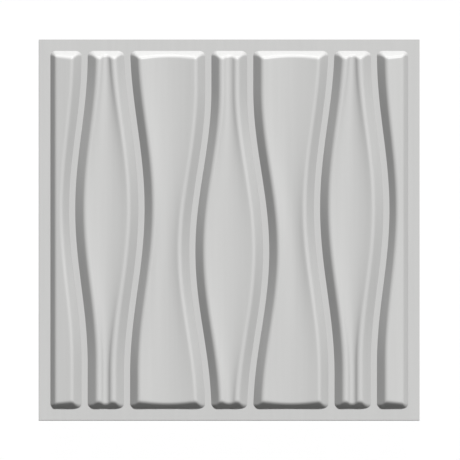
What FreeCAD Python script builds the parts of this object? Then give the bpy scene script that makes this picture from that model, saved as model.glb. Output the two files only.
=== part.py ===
import FreeCAD, Part
import math
import os

# A wall panel tile, drawn in one piece from thin PVC sheet over a mould.
# A flat border and six flat wavy strips lie at wall level. Between them stand seven bars with
# bevelled sides, soft rims and dished tops, and each bar is hollow behind.
# The tile lies on its back, face up: X runs across the bars, Y along them and Z up.
# The origin is the middle of the back face. Lengths are in millimetres and angles in degrees.

DIMENSIONS = (
    ("sheet_gauge", 1.0, "thickness of the sheet, the same all over"),
    ("border_width", 15.0, "flat border round the bars"),
    ("bar_length", 470.0, "length of every bar at its foot"),
    ("strip_width", 8.0, "flat strip between two bars"),
    ("centre_bar", 68.0, "mean foot width of the middle bar, which swells at half length"),
    ("waist_bar", 78.8, "mean foot width of the two bars beside it, narrow at half length"),
    ("lobe_bar", 65.4, "mean foot width of the next two, which swell again"),
    ("side_bar", 32.8, "mean foot width of the two outer bars, straight along the border"),
    ("inner_swing", 10.5, "wave of the strips beside the middle bar, to each side"),
    ("inner_crest", -28.5, "place along the bars where those strips stand furthest out"),
    ("inner_wave", 425.0, "wavelength of those strips"),
    ("middle_swing", -9.5, "wave of the next strips, against the first"),
    ("middle_crest", 28.5, "place where they stand furthest in"),
    ("middle_wave", 438.0, "wavelength of those strips"),
    ("outer_swing", 8.2, "wave of the outermost strips"),
    ("outer_crest", 26.5, "place where they stand furthest out"),
    ("outer_wave", 406.0, "wavelength of those strips"),
    ("side_bevel", 50.0, "slope of the bevel along a bar's sides"),
    ("end_bevel", 55.0, "slope of the bevel at a bar's ends"),
    ("rim_height", 13.4, "height of the rims above the border"),
    ("rim_rounding", 6.0, "radius of the rims along the bars"),
    ("dish_depth", 3.8, "depth of a bar's hollow top below its rims"),
    ("centre_dish", 3.3, "the same on the middle bar"),
    ("side_height", 10.0, "height of an outer bar along the border, before it is rounded"),
    ("side_fall", 9.0, "slope of an outer bar's flat top, down to the border"),
    ("border_bevel", 55.0, "slope of an outer bar's bevel along the border"),
    ("corner_rounding", 8.0, "radius of a bar's mitred corners at the foot"),
    ("corner_tip", 3.0, "radius of the same corners at the rim"),
    ("corner_flat", 2.3, "flat that breaks the same corners behind, so that the sheet stays whole there"),
)
STATIONS = 13           # sections along each bar
RIM_FLATS = 3           # narrow flats that turn a rim from its bevel to the top
DISH_FLATS = 5          # flats that make up a hollow top
CROWN_SHARE = 0.95      # most of a flat top that its two rims may take up

doc = FreeCAD.newDocument("wall_panel_tile")
sizes = doc.addObject("Spreadsheet::Sheet", "Sizes")
for row, (alias, value, meaning) in enumerate(DIMENSIONS, start=1):
    sizes.set(f"A{row}", meaning)
    sizes.set(f"B{row}", str(value))
    sizes.setAlias(f"B{row}", alias)
doc.recompute()


def size(alias):
    """A driving dimension, read from the sheet."""
    return float(sizes.get(alias))


gauge = size("sheet_gauge")
side_slope = math.radians(size("side_bevel"))
border_slope = math.radians(size("border_bevel"))

# Mean distance of each strip's middle line from the panel's middle line.
STRIP_PLACE = {"inner": (size("centre_bar") + size("strip_width")) / 2}
STRIP_PLACE["middle"] = STRIP_PLACE["inner"] + size("waist_bar") + size("strip_width")
STRIP_PLACE["outer"] = STRIP_PLACE["middle"] + size("lobe_bar") + size("strip_width")
BORDER_PLACE = STRIP_PLACE["outer"] + size("strip_width") / 2 + size("side_bar")
# The tile is as wide and as long as its bars, its strips and its border.
HALF_BARS = "Sizes.centre_bar / 2 + Sizes.waist_bar + Sizes.lobe_bar + Sizes.side_bar"
PANEL_WIDTH = f"(2 * ({HALF_BARS} + 3 * Sizes.strip_width + Sizes.border_width))"
PANEL_LENGTH = "(Sizes.bar_length + 2 * Sizes.border_width)"


def strip_edge(strip, edge, y):
    """Distance of a strip's inner (-1) or outer (1) edge from the panel's middle line."""
    turn = 2 * math.pi * (y - size(strip + "_crest")) / size(strip + "_wave")
    wave = size(strip + "_swing") * math.cos(turn)
    return STRIP_PLACE[strip] + wave + edge * size("strip_width") / 2


def bevel_normal(side, slope):
    """Outward normal of the bevel on a bar's left (-1) or right (1)."""
    return FreeCAD.Vector(side * math.sin(slope), 0, math.cos(slope))


def bevel_uphill(side, slope):
    """Direction up the bevel on a bar's left (-1) or right (1)."""
    return FreeCAD.Vector(-side * math.cos(slope), 0, math.sin(slope))


def dished_top(left, right, depth):
    """Rims of a bar with a hollow top, and the middle and radius of the arc between them."""
    rim = size("rim_rounding")
    rise = size("rim_height") - rim
    run = (rise + rim / math.cos(side_slope)) / math.tan(side_slope)
    reach = (right - left) / 2 - run
    lean = 2 * math.atan(depth / reach)
    arc = reach / math.sin(lean) - rim
    arc_middle = FreeCAD.Vector((left + right) / 2, 0, gauge + size("rim_height") - depth + arc)
    rims = []
    for side, foot in ((-1, left), (1, right)):
        middle = FreeCAD.Vector(foot - side * run, 0, gauge + rise)
        up = FreeCAD.Vector(-side * math.sin(lean), 0, math.cos(lean))
        rims.append((side, side_slope, middle, up, rim))
    return rims, (arc_middle, arc)


def sloped_top(left, right):
    """Rims of a bar with a flat top that falls from its wavy side to the border."""
    fall = math.radians(size("side_fall"))
    up = FreeCAD.Vector(math.sin(fall), 0, math.cos(fall))
    border_run = size("side_height") / math.tan(border_slope)
    border_lift = size("side_height") - math.tan(fall) * border_run
    wavy_lift = border_lift + math.tan(fall) * (right - left)
    wavy_run = wavy_lift / (math.tan(side_slope) + math.tan(fall))
    flat_top = (right - left - wavy_run - border_run) / math.cos(fall)
    turns = math.tan((side_slope + fall) / 2) + math.tan((border_slope - fall) / 2)
    rim = min(size("rim_rounding"), CROWN_SHARE * flat_top / turns)
    flanks = ((-1, side_slope, left, wavy_lift, fall), (1, border_slope, right, border_lift, -fall))
    rims = []
    for side, bevel, foot, lift, slope in flanks:
        under = lift + rim / math.cos(bevel) - rim / math.cos(fall)
        run = under / (math.tan(bevel) + math.tan(slope))
        rise = run * math.tan(bevel) - rim / math.cos(bevel)
        rims.append((side, bevel, FreeCAD.Vector(foot - side * run, 0, gauge + rise), up, rim))
    return rims, None


def turned(middle, radius, start, end, flats):
    """Corners of the even flats that follow an arc about its middle, from one direction to another."""
    first = math.atan2(start.z, start.x)
    turn = math.atan2(end.z, end.x) - first
    corners = []
    for step in range(flats + 1):
        angle = first + turn * step / flats
        corners.append(middle + FreeCAD.Vector(math.cos(angle), 0, math.sin(angle)) * radius)
    return corners


def section(rims, dish, y, inset):
    """Closed outline of a bar across its length, a distance inset inside the face of the sheet."""
    root = gauge / 2 - inset
    flanks = []
    for side, bevel, middle, top_normal, rim in rims:
        rounded = turned(middle, rim - inset, bevel_normal(side, bevel), top_normal, RIM_FLATS)
        uphill = bevel_uphill(side, bevel)
        foot = rounded[0] - uphill * ((rounded[0].z - root) / uphill.z)
        flanks.append([foot] + rounded)
    left_flank, right_flank = flanks
    across = []
    if dish:
        arc_middle, arc = dish
        start = left_flank[-1] - arc_middle
        end = right_flank[-1] - arc_middle
        across = turned(arc_middle, arc + inset, start, end, DISH_FLATS)[1:-1]
    outline = left_flank + across + right_flank[::-1]
    place = FreeCAD.Vector(0, y, 0)
    return Part.makePolygon([corner + place for corner in outline + outline[:1]])


def centre_top(y):
    """Top of the middle bar, at a place along it."""
    half = strip_edge("inner", -1, y)
    return dished_top(-half, half, size("centre_dish"))


def waist_top(y):
    """Top of a bar beside it."""
    return dished_top(strip_edge("inner", 1, y), strip_edge("middle", -1, y), size("dish_depth"))


def lobe_top(y):
    """Top of the next bar."""
    return dished_top(strip_edge("middle", 1, y), strip_edge("outer", -1, y), size("dish_depth"))


def side_top(y):
    """Top of an outer bar."""
    return sloped_top(strip_edge("outer", 1, y), BORDER_PLACE)


BARS = {"centre": centre_top, "waist": waist_top, "lobe": lobe_top, "side": side_top}
# The face of the bars, and the hollows behind them one sheet thickness further in.
SKINS = {"face": 0.0, "hollow": gauge}
CORNERS = {"face": "Part::Fillet", "hollow": "Part::Chamfer"}


def end_wedge(skin):
    """Block with sloped ends, which the bars share: it bevels them to one length."""
    wedge = doc.addObject("Part::Wedge", f"{skin}_ends")
    inset = "0" if skin == "face" else "Sizes.sheet_gauge"
    lean = "Sizes.end_bevel * 1 deg"
    root = f"Sizes.sheet_gauge / 2 - {inset}"
    rise = "(Sizes.rim_height + Sizes.side_height)"
    foot = f"Sizes.bar_length / 2 - {inset} * tan({lean} / 2) + Sizes.sheet_gauge / 2 / tan({lean})"
    head = f"{foot} - {rise} / tan({lean})"
    wedge.setExpression("Ymin", root)
    wedge.setExpression("Ymax", f"{root} + {rise}")
    for edge, sign in (("min", "-"), ("max", "")):
        wedge.setExpression(f"X{edge}", f"{sign}{PANEL_WIDTH} / 2")
        wedge.setExpression(f"X2{edge}", f"{sign}{PANEL_WIDTH} / 2")
        wedge.setExpression(f"Z{edge}", f"{sign}({foot})")
        wedge.setExpression(f"Z2{edge}", f"{sign}({head})")
    wedge.Placement = FreeCAD.Placement(FreeCAD.Vector(), FreeCAD.Rotation(FreeCAD.Vector(1, 0, 0), 90))
    return wedge


def mitres(bar, skin):
    """Edges from foot to rim at a bar's four corners: number, and the two sizes that soften it."""
    lean = math.radians(size("end_bevel"))
    root = gauge / 2 - SKINS[skin]
    found = []
    for number, edge in enumerate(bar.Shape.Edges, start=1):
        faces = bar.Shape.ancestorsOfType(edge, Part.Face)
        normals = [face.normalAt(0, 0) for face in faces if face.Surface.TypeId == "Part::GeomPlane"]
        on_end = [normal for normal in normals if abs(abs(normal.y) - math.sin(lean)) < 1e-6]
        start, end = edge.Vertexes[0].Point.z, edge.Vertexes[-1].Point.z
        if on_end and min(start, end) < root + 1e-3 and max(start, end) > root + gauge:
            if skin == "hollow":
                softened = (size("corner_flat"), size("corner_flat"))
            elif start < end:
                softened = (size("corner_rounding"), size("corner_tip"))
            else:
                softened = (size("corner_tip"), size("corner_rounding"))
            found.append((number,) + softened)
    return found


def bar_skin(name, skin, wedge):
    """One bar's face, or the hollow behind it: lofted along the bar, bevelled and mitred at the ends."""
    inset = SKINS[skin]
    span = size("bar_length") + 2 * size("rim_height")
    outlines = []
    for station in range(STATIONS):
        y = span * (station / (STATIONS - 1) - 0.5)
        outline = doc.addObject("Part::Feature", f"{name}_{skin}_section_{station}")
        rims, dish = BARS[name](y)
        outline.Shape = section(rims, dish, y, inset)
        outlines.append(outline)
    loft = doc.addObject("Part::Loft", f"{name}_{skin}_loft")
    loft.Sections = outlines
    loft.Solid = True
    bevelled = doc.addObject("Part::Common", f"{name}_{skin}_bevelled")
    bevelled.Base = loft
    bevelled.Tool = wedge
    doc.recompute()
    softened = doc.addObject(CORNERS[skin], f"{name}_{skin}")
    softened.Base = bevelled
    softened.Edges = mitres(bevelled, skin)
    return softened


def both_sides(skin):
    """All the bars' faces, or all the hollows: the middle bar, three beside it and their mirror images."""
    wedge = end_wedge(skin)
    doc.recompute()
    skins = {name: bar_skin(name, skin, wedge) for name in BARS}
    right_side = doc.addObject("Part::Compound", f"right_{skin}s")
    right_side.Links = [skins["waist"], skins["lobe"], skins["side"]]
    left_side = doc.addObject("Part::Mirroring", f"left_{skin}s")
    left_side.Source = right_side
    left_side.Normal = FreeCAD.Vector(1, 0, 0)
    return [skins["centre"], right_side, left_side]


flat_sheet = doc.addObject("Part::Box", "flat_sheet")
flat_sheet.setExpression("Length", PANEL_WIDTH)
flat_sheet.setExpression("Width", PANEL_LENGTH)
flat_sheet.setExpression("Height", "Sizes.sheet_gauge")
flat_sheet.setExpression("Placement.Base.x", f"-{PANEL_WIDTH} / 2")
flat_sheet.setExpression("Placement.Base.y", f"-{PANEL_LENGTH} / 2")

raised = doc.addObject("Part::MultiFuse", "raised_sheet")
raised.Shapes = [flat_sheet] + both_sides("face")
hollows = doc.addObject("Part::Compound", "hollows")
hollows.Links = both_sides("hollow")
panel = doc.addObject("Part::Cut", "wall_panel")
panel.Label = "wall_panel"
panel.Base = raised
panel.Tool = hollows
doc.recompute()

for item in doc.Objects:
    if "Invalid" in item.State or "Error" in item.State:
        raise RuntimeError(f"{item.Name} failed: {item.State}")
if panel.Shape.isNull() or not panel.Shape.isValid() or len(panel.Shape.Solids) != 1:
    raise RuntimeError("the panel is not one sound solid")

os.makedirs("parts", exist_ok=True)
solid = panel.Shape.Solids[0]
solid.exportStep(f"parts/{panel.Label}.step")
box = solid.optimalBoundingBox()
print(panel.Label, "volume", round(solid.Volume), "box", box.XLength, box.YLength, box.ZLength)
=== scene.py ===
import math

import bpy
import numpy as np
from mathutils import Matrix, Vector


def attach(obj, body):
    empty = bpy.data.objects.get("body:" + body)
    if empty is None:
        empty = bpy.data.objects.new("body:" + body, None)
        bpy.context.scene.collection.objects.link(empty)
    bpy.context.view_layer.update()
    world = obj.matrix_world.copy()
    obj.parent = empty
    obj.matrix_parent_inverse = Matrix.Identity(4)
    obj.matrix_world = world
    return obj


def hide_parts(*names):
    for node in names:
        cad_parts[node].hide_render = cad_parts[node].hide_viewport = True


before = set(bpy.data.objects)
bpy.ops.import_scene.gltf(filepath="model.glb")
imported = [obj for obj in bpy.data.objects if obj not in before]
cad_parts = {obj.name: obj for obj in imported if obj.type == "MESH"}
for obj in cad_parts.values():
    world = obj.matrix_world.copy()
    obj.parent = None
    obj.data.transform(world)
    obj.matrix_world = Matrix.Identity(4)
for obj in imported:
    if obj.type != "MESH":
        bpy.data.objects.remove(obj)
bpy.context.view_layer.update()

# A wall panel tile of thin PVC sheet, drawn over a mould, lying on its back with its face up.
# X runs across the bars, Y along them. Sizes are in millimetres, and vertices are written in metres.
MM = 0.001
SHEET_GAUGE = 1.0
BORDER_WIDTH = 15.0
BAR_LENGTH = 470.0
STRIP_WIDTH = 8.0
CENTRE_BAR, WAIST_BAR, LOBE_BAR, SIDE_BAR = 68.0, 78.8, 65.4, 32.8      # mean widths at the foot
RIM_HEIGHT = 13.4           # top of a rim above the border
CENTRE_DISH, WAIST_DISH, LOBE_DISH = 3.3, 3.8, 4.4          # hollow of a bar's top, below its rims
SIDE_HEIGHT = 10.0          # an outer bar along the border, before it is rounded
SIDE_FALL = math.radians(9.0)       # slope of an outer bar's top, down to the border
BEVEL = math.radians(50.0)          # along the wavy sides
LOBE_BEVEL = math.radians(47.5)     # on the lobed bars' sides towards the border
BORDER_BEVEL = math.radians(55.0)   # along the border, on the outer bars
END_BEVEL = math.radians(55.0)      # at the bars' ends
RIM_ROUNDING = 6.0
CORNER_ROUNDING = 8.0       # a bar's four corners at its foot, seen from above
END_SOFTENING = 3.6         # height over which an end bevel and the top run into each other
MITRE_SOFTENING = 1e-6      # the same at the foot of a corner: crisp, and just more than nothing
MITRE_FADE = (4.8, 8.4)     # heights between which the crisp mitre at a corner turns soft

HALF_WIDTH = CENTRE_BAR / 2 + WAIST_BAR + LOBE_BAR + SIDE_BAR + 3 * STRIP_WIDTH + BORDER_WIDTH
HALF_LENGTH = BAR_LENGTH / 2 + BORDER_WIDTH

# Each wavy strip: its mean distance from the middle line, its swing, its crest and its wavelength.
INNER = (CENTRE_BAR + STRIP_WIDTH) / 2
MIDDLE = INNER + WAIST_BAR + STRIP_WIDTH
OUTER = MIDDLE + LOBE_BAR + STRIP_WIDTH
STRIPS = {
    "inner": (INNER, 10.5, -28.5, 425.0),
    "middle": (MIDDLE, -9.5, 28.5, 438.0),
    "outer": (OUTER, 8.2, 26.5, 406.0),
}

# Faces of the mesh across a bevel, a rim and a bar's top, round a corner, and along the bars.
BEVEL_STEPS, RIM_STEPS, TOP_STEPS, CORNER_STEPS = 7, 6, 12, 8
END_ROWS = (0.8, 1.6, 2.4, 3.2, 4.2, 5.4, 7.0, 9.0, 12.0)     # past the corners
ROW_STEP = 4.4
CREASE = math.radians(25.0)         # a sharper fold than this shows as an edge

# The white studio.
FLOOR_REACH = 6000.0        # wide enough to fill every view
FLOOR_DROP = 0.05           # just under the tile
FILL = 0.085                # brightness of the even light from all round
MIRRORED = 0.072            # brightness that the white room adds by the sheet's sheen
KEY_DIRECTION = Vector((0.35, 0.78, 1.0)).normalized()
LOW_DIRECTION = Vector((0.0, 1.0, 0.02)).normalized()
LOW_LEVEL = 0.52
SUN_BREADTH = math.radians(6.0)

# The camera looks straight down through a long lens. The tile sits a little up and left in the image.
IMAGE_SPAN = 604.3          # across the image, at the tile's face
CAMERA_X, CAMERA_Y = 0.95, -0.25
LENS, SENSOR = 300.0, 36.0


def strip_edge(strip, edge, y):
    """Distance of a strip's inner (-1) or outer (1) edge from the middle line.

    Past the turn of its wave a strip runs straight on to the bars' ends.
    """
    place, swing, crest, wave = STRIPS[strip]
    turn = np.clip(2 * math.pi * (y - crest) / wave, -math.pi, math.pi)
    return place + swing * np.cos(turn) + edge * STRIP_WIDTH / 2


def along_the_bars():
    """Rows of the mesh: close together at the bars' ends, and even between them."""
    turn = np.linspace(0, math.pi / 2, CORNER_STEPS + 1)
    corner_length = CORNER_ROUNDING * math.tan(BEVEL) / math.tan(END_BEVEL)
    from_end = np.concatenate([corner_length * (1 - np.cos(turn)), corner_length + np.array(END_ROWS)])
    reach = BAR_LENGTH / 2 - from_end
    steps = round(2 * reach[-1] / ROW_STEP)
    between = np.linspace(-reach[-1], reach[-1], steps + 1)[1:-1]
    return np.concatenate([[-HALF_LENGTH], -reach, between, reach[::-1], [HALF_LENGTH]])


def flank(bevel, centre_in, centre_up, top_angle):
    """Distance in from the foot and height, up one bevel and round the rim above it.

    The rim turns about its centre, from the bevel to the angle at which the bar's top goes on.
    """
    bevel_angle = math.pi / 2 + bevel
    angle = bevel_angle + (top_angle - bevel_angle)[:, None] * np.linspace(0, 1, RIM_STEPS + 1)
    rim_in = centre_in[:, None] + RIM_ROUNDING * np.cos(angle)
    rim_up = centre_up[:, None] + RIM_ROUNDING * np.sin(angle)
    share = np.linspace(0, 1, BEVEL_STEPS + 1)[:-1]
    return np.hstack([rim_in[:, :1] * share, rim_in]), np.hstack([rim_up[:, :1] * share, rim_up])


def dished_bar(width, depth, right_bevel=BEVEL):
    """Section of a bar whose hollow top is one arc between two even rims.

    Gives distance from the left foot and height, row by row.
    """
    centre_up = RIM_HEIGHT - RIM_ROUNDING
    left_centre, right_centre = [(centre_up + RIM_ROUNDING / math.cos(bevel)) / math.tan(bevel)
                                 for bevel in (BEVEL, right_bevel)]
    reach = (width - left_centre - right_centre) / 2
    lean = 2 * np.arctan(depth / reach)
    arc = reach / np.sin(lean) - RIM_ROUNDING
    even = np.ones_like(width)
    left_in, left_up = flank(BEVEL, left_centre * even, centre_up * even, math.pi / 2 - lean)
    right_in, right_up = flank(right_bevel, right_centre * even, centre_up * even, math.pi / 2 - lean)
    turn = lean[:, None] * np.linspace(-1, 1, TOP_STEPS + 1)[1:-1]
    top_in = left_centre + reach[:, None] + arc[:, None] * np.sin(turn)
    top_up = RIM_HEIGHT - depth + arc[:, None] * (1 - np.cos(turn))
    across = np.hstack([left_in, top_in, width[:, None] - right_in[:, ::-1]])
    return across, np.hstack([left_up, top_up, right_up[:, ::-1]])


def rim_under_slope(bevel, lift, fall):
    """Flank below a straight top, which is as high as lift above the foot and falls from there."""
    gap = RIM_ROUNDING / math.cos(bevel) - RIM_ROUNDING / math.cos(fall)
    centre_in = (lift + gap) / (math.tan(bevel) + math.tan(fall))
    centre_up = centre_in * math.tan(bevel) - RIM_ROUNDING / math.cos(bevel)
    return flank(bevel, centre_in, centre_up, np.full_like(lift, math.pi / 2 - fall))


def sloped_bar(width):
    """Section of an outer bar, whose straight top falls from the wavy side to the border."""
    border_lift = SIDE_HEIGHT - math.tan(SIDE_FALL) * SIDE_HEIGHT / math.tan(BORDER_BEVEL)
    wavy_in, wavy_up = rim_under_slope(BEVEL, border_lift + math.tan(SIDE_FALL) * width, SIDE_FALL)
    border_in, border_up = rim_under_slope(BORDER_BEVEL, np.full_like(width, border_lift), -SIDE_FALL)
    share = np.linspace(0, 1, TOP_STEPS + 1)[1:-1]
    top_start, top_end = wavy_in[:, -1:], width[:, None] - border_in[:, -1:]
    top_in = top_start + (top_end - top_start) * share
    top_up = wavy_up[:, -1:] + (border_up[:, -1:] - wavy_up[:, -1:]) * share
    across = np.hstack([wavy_in, top_in, width[:, None] - border_in[:, ::-1]])
    return across, np.hstack([wavy_up, top_up, border_up[:, ::-1]])


def formed_half(from_side, up, bevel, from_end):
    """One half of a bar, from its foot to its middle, with the ends bevelled and the corners rounded.

    The runs in from the end and the side are measured as on a wavy side, so that they rise alike.
    """
    steep = math.tan(bevel) / math.tan(BEVEL)
    end_run = from_end[:, None] * math.tan(END_BEVEL) / math.tan(BEVEL)
    short = CORNER_ROUNDING - np.minimum(end_run, CORNER_ROUNDING)
    # Towards an end the foot draws in round the corner, and the section's columns close up.
    drawn = (CORNER_ROUNDING - np.sqrt(CORNER_ROUNDING ** 2 - short ** 2)) / steep
    placed = drawn + from_side * (1 - drawn / from_side[:, -1:])
    up = np.stack([np.interp(*row) for row in zip(placed, from_side, up)])
    # The end bevel meets the sides in a mitre, and runs softly into the rims and the top.
    end_up = end_run * math.tan(BEVEL)
    lower = np.minimum(up, end_up)
    fade_start, fade_end = MITRE_FADE
    fade = np.clip((lower - fade_start) / (fade_end - fade_start), 0, 1)
    soft = np.maximum(END_SOFTENING * fade ** 2 * (3 - 2 * fade), MITRE_SOFTENING)
    height = lower - np.maximum(soft - np.abs(up - end_up), 0) ** 2 / (4 * soft)
    # Round a corner the bevel leans evenly from side to end.
    side_run = placed * steep
    nearest = np.minimum(side_run, end_run)
    side_short = np.maximum(CORNER_ROUNDING - side_run, 0)
    corner = np.maximum(nearest, CORNER_ROUNDING) - np.hypot(side_short, short)
    return placed, height + (corner - nearest) * math.tan(BEVEL)


def formed_bar(section, right_bevel, left, right, from_end):
    """Place across and height of one bar, made of its two halves."""
    across, up = section
    half = across.shape[1] // 2 + 1
    left_in, left_up = formed_half(across[:, :half], up[:, :half], BEVEL, from_end)
    from_right = ((right - left)[:, None] - across)[:, ::-1]
    right_in, right_up = formed_half(from_right[:, :half], up[:, ::-1][:, :half], right_bevel, from_end)
    place = np.hstack([left[:, None] + left_in, right[:, None] - right_in[:, -2::-1]])
    return place, np.hstack([left_up, right_up[:, -2::-1]])


def seven_bars(y):
    """Place across and height of each bar from left to right, the left half mirroring the right."""
    from_end = BAR_LENGTH / 2 - np.abs(y)
    waist = strip_edge("inner", 1, y), strip_edge("middle", -1, y)
    lobe = strip_edge("middle", 1, y), strip_edge("outer", -1, y)
    side = strip_edge("outer", 1, y), np.full_like(y, HALF_WIDTH - BORDER_WIDTH)
    half_centre = strip_edge("inner", -1, y)
    centre_section = dished_bar(2 * half_centre, CENTRE_DISH)
    centre = formed_bar(centre_section, BEVEL, -half_centre, half_centre, from_end)
    right_side = [
        formed_bar(dished_bar(waist[1] - waist[0], WAIST_DISH), BEVEL, *waist, from_end),
        formed_bar(dished_bar(lobe[1] - lobe[0], LOBE_DISH, LOBE_BEVEL), LOBE_BEVEL, *lobe, from_end),
        formed_bar(sloped_bar(side[1] - side[0]), BORDER_BEVEL, *side, from_end),
    ]
    left_side = [(-across[:, ::-1], up[:, ::-1]) for across, up in reversed(right_side)]
    return left_side + [centre] + right_side


def face_of_the_sheet():
    """Mesh of the tile's face: one grid over border, strips and bars."""
    rows = along_the_bars()
    bars = seven_bars(np.clip(rows, -BAR_LENGTH / 2, BAR_LENGTH / 2))
    edge = np.full((len(rows), 1), HALF_WIDTH)
    flat = np.zeros((len(rows), 1))
    x = np.hstack([-edge] + [across for across, up in bars] + [edge])
    z = np.hstack([flat] + [up for across, up in bars] + [flat])
    y = np.broadcast_to(rows[:, None], x.shape)
    points = np.stack([x, y, z + SHEET_GAUGE], axis=-1).reshape(-1, 3) * MM
    columns = x.shape[1]
    first = (np.arange(len(rows) - 1)[:, None] * columns + np.arange(columns - 1)).ravel()
    faces = np.stack([first, first + 1, first + columns + 1, first + columns], axis=-1)
    mesh = bpy.data.meshes.new("face_of_the_sheet")
    mesh.from_pydata(points.tolist(), [], faces.tolist())
    return mesh


def formed_sheet():
    """The whole tile: its face, thickened to the sheet's gauge."""
    sheet = bpy.data.objects.new("formed_sheet", face_of_the_sheet())
    bpy.context.collection.objects.link(sheet)
    gauge = sheet.modifiers.new("gauge", "SOLIDIFY")
    gauge.thickness = SHEET_GAUGE * MM
    gauge.offset = -1
    gauge.use_even_offset = True
    thick = bpy.data.meshes.new_from_object(sheet.evaluated_get(bpy.context.evaluated_depsgraph_get()))
    sheet.modifiers.clear()
    sheet.data = thick
    # The back of the border and the strips lies flat on the wall, up to the hollows' edges.
    for vertex in thick.vertices:
        vertex.co.z = max(vertex.co.z, 0.0)
    thick.shade_smooth()
    thick.set_sharp_from_angle(angle=CREASE)
    return sheet


def linear(hex_colour):
    """An sRGB hex colour as linear values with alpha."""
    parts = [int(hex_colour[i:i + 2], 16) / 255 for i in (1, 3, 5)]
    return [c / 12.92 if c <= 0.04045 else ((c + 0.055) / 1.055) ** 2.4 for c in parts] + [1.0]


def node(tree, kind, inputs=None, **settings):
    """Adds a node with its own settings.

    inputs gives its sockets by name or number, each a value or another node's output.
    """
    made = tree.nodes.new(kind)
    for name, value in settings.items():
        setattr(made, name, value)
    for name, value in (inputs or {}).items():
        if isinstance(value, bpy.types.NodeSocket):
            tree.links.new(value, made.inputs[name])
        else:
            made.inputs[name].default_value = value
    return made


def satin_pvc_sheet():
    """Rigid PVC sheet, warmed and drawn over a mould: an even pale grey with a broad soft sheen.

    The mould's blasted skin leaves a fine grain that breaks the sheen up, and the draw along the bars
    leaves faint lengthwise streaks in tone and gloss.
    """
    material = bpy.data.materials.new("pvc_sheet_vacuum_formed_satin")
    material.use_nodes = True
    tree = material.node_tree
    shader = tree.nodes["Principled BSDF"]
    place = node(tree, "ShaderNodeTexCoord").outputs["Object"]
    # Draw streaks: about 5 mm wide and 160 mm long.
    streak_width, streak_length = 5.0 * MM, 160.0 * MM
    narrowed = (1 / streak_width, 1 / streak_length, 1 / streak_width)
    stretch = node(tree, "ShaderNodeVectorMath", {0: place, 1: narrowed},
                   operation="MULTIPLY").outputs["Vector"]
    streak_noise = {"Vector": stretch, "Scale": 1.0, "Detail": 2.0}
    streaks = node(tree, "ShaderNodeTexNoise", streak_noise).outputs["Fac"]
    low, high = 0.3, 0.7                # values that the noise seldom leaves
    tone = node(tree, "ShaderNodeValToRGB", {"Fac": streaks})
    for stop, position, colour in zip(tone.color_ramp.elements, (low, high), ("#C9C9C8", "#CBCBCA")):
        stop.position = position
        stop.color = linear(colour)
    tree.links.new(tone.outputs["Color"], shader.inputs["Base Color"])
    gloss_range = {"Value": streaks, "From Min": low, "From Max": high, "To Min": 0.44, "To Max": 0.48}
    gloss = node(tree, "ShaderNodeMapRange", gloss_range).outputs["Result"]
    tree.links.new(gloss, shader.inputs["Roughness"])
    # Mould grain: 0.3 mm on the real sheet, drawn at 2.5 mm, because a finer one would not show.
    grain_size = 2.5 * MM
    grain_noise = {"Vector": place, "Scale": 1 / grain_size, "Detail": 3.0}
    grain = node(tree, "ShaderNodeTexNoise", grain_noise).outputs["Fac"]
    bump = node(tree, "ShaderNodeBump", {"Height": grain, "Strength": 0.05, "Distance": 0.1 * MM})
    tree.links.new(bump.outputs["Normal"], shader.inputs["Normal"])
    shader.inputs["IOR"].default_value = 1.53
    return material


def white_studio_paper():
    """Matt white paper, lit a little from behind, which makes up for the sheen it lacks."""
    material = bpy.data.materials.new("white_studio_paper")
    material.use_nodes = True
    shader = material.node_tree.nodes["Principled BSDF"].inputs
    shader["Base Color"].default_value = linear("#FFFFFF")
    shader["Roughness"].default_value = 1.0
    shader["Specular IOR Level"].default_value = 0.0
    shader["Emission Color"].default_value = linear("#FFFFFF")
    shader["Emission Strength"].default_value = MIRRORED
    return material


def studio_floor():
    """One square of paper just under the tile."""
    corners = ((-1, -1), (1, -1), (1, 1), (-1, 1))
    points = [(x * FLOOR_REACH * MM, y * FLOOR_REACH * MM, -FLOOR_DROP * MM) for x, y in corners]
    mesh = bpy.data.meshes.new("studio_floor")
    mesh.from_pydata(points, [], [(0, 1, 2, 3)])
    mesh.materials.append(white_studio_paper())
    floor = bpy.data.objects.new("studio_floor", mesh)
    bpy.context.collection.objects.link(floor)
    return floor


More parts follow.
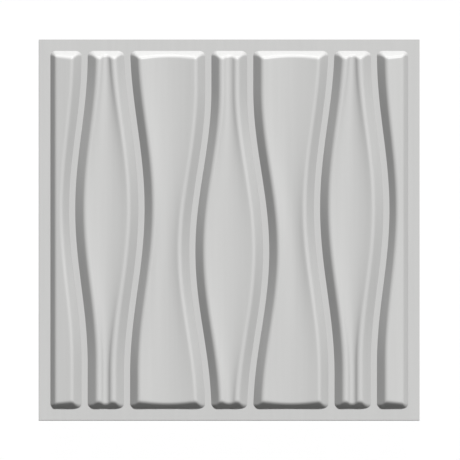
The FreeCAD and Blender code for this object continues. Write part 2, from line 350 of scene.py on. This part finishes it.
def sun(name, direction, level):
    """A distant lamp that gives a surface square to it this brightness."""
    lamp = bpy.data.lights.new(name, "SUN")
    lamp.energy = math.pi * level
    lamp.angle = SUN_BREADTH
    placed = bpy.data.objects.new(name, lamp)
    placed.rotation_euler = direction.to_track_quat("Z", "Y").to_euler()
    bpy.context.collection.objects.link(placed)


def white_room():
    """Fills evenly from all round, and shows plain white to the camera and in what mirrors it."""
    world = bpy.data.worlds.new("studio_fill")
    world.use_nodes = True
    tree = world.node_tree
    rays = node(tree, "ShaderNodeLightPath").outputs
    reflected = node(tree, "ShaderNodeMath", {0: rays["Is Glossy Ray"], 1: rays["Is Transmission Ray"]},
                     operation="MAXIMUM").outputs["Value"]
    shown = node(tree, "ShaderNodeMath", {0: rays["Is Camera Ray"], 1: reflected},
                 operation="MAXIMUM").outputs["Value"]
    brightness = {"Value": shown, "To Min": FILL, "To Max": 1.0}
    strength = node(tree, "ShaderNodeMapRange", brightness).outputs["Result"]
    background = tree.nodes["Background"].inputs
    tree.links.new(strength, background["Strength"])
    background["Color"].default_value = linear("#FFFFFF")
    return world


def camera_above():
    """Looks straight down, from the height at which the image has its span at the tile's face."""
    camera_data = bpy.data.cameras.new("camera")
    camera_data.lens = LENS
    camera_data.sensor_width = SENSOR
    camera_data.clip_end = 50.0
    camera = bpy.data.objects.new("camera", camera_data)
    camera.location = Vector((CAMERA_X, CAMERA_Y, SHEET_GAUGE + IMAGE_SPAN * LENS / SENSOR)) * MM
    bpy.context.collection.objects.link(camera)
    return camera


sheet = formed_sheet()
sheet.data.materials.clear()
sheet.data.materials.append(satin_pvc_sheet())
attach(sheet, "root")
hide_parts("wall_panel")

floor = studio_floor()
# Neither throws its own light back at the bevels, which keep the deep, even tone that the key gives them.
floor.visible_diffuse = False
sheet.visible_diffuse = False

# A key light high at the far right, a low light from the far side that picks out the upper ends, and an
# even fill from all round. With the white room that the sheet's sheen mirrors, they give a face-up surface
# about the brightness at which a colour renders as it is written.
sun("key_light", KEY_DIRECTION, (1 - FILL - MIRRORED) / KEY_DIRECTION.z)
sun("low_light", LOW_DIRECTION, LOW_LEVEL)
bpy.context.scene.world = white_room()
bpy.context.scene.camera = camera_above()
bpy.context.scene.view_settings.view_transform = "Standard"
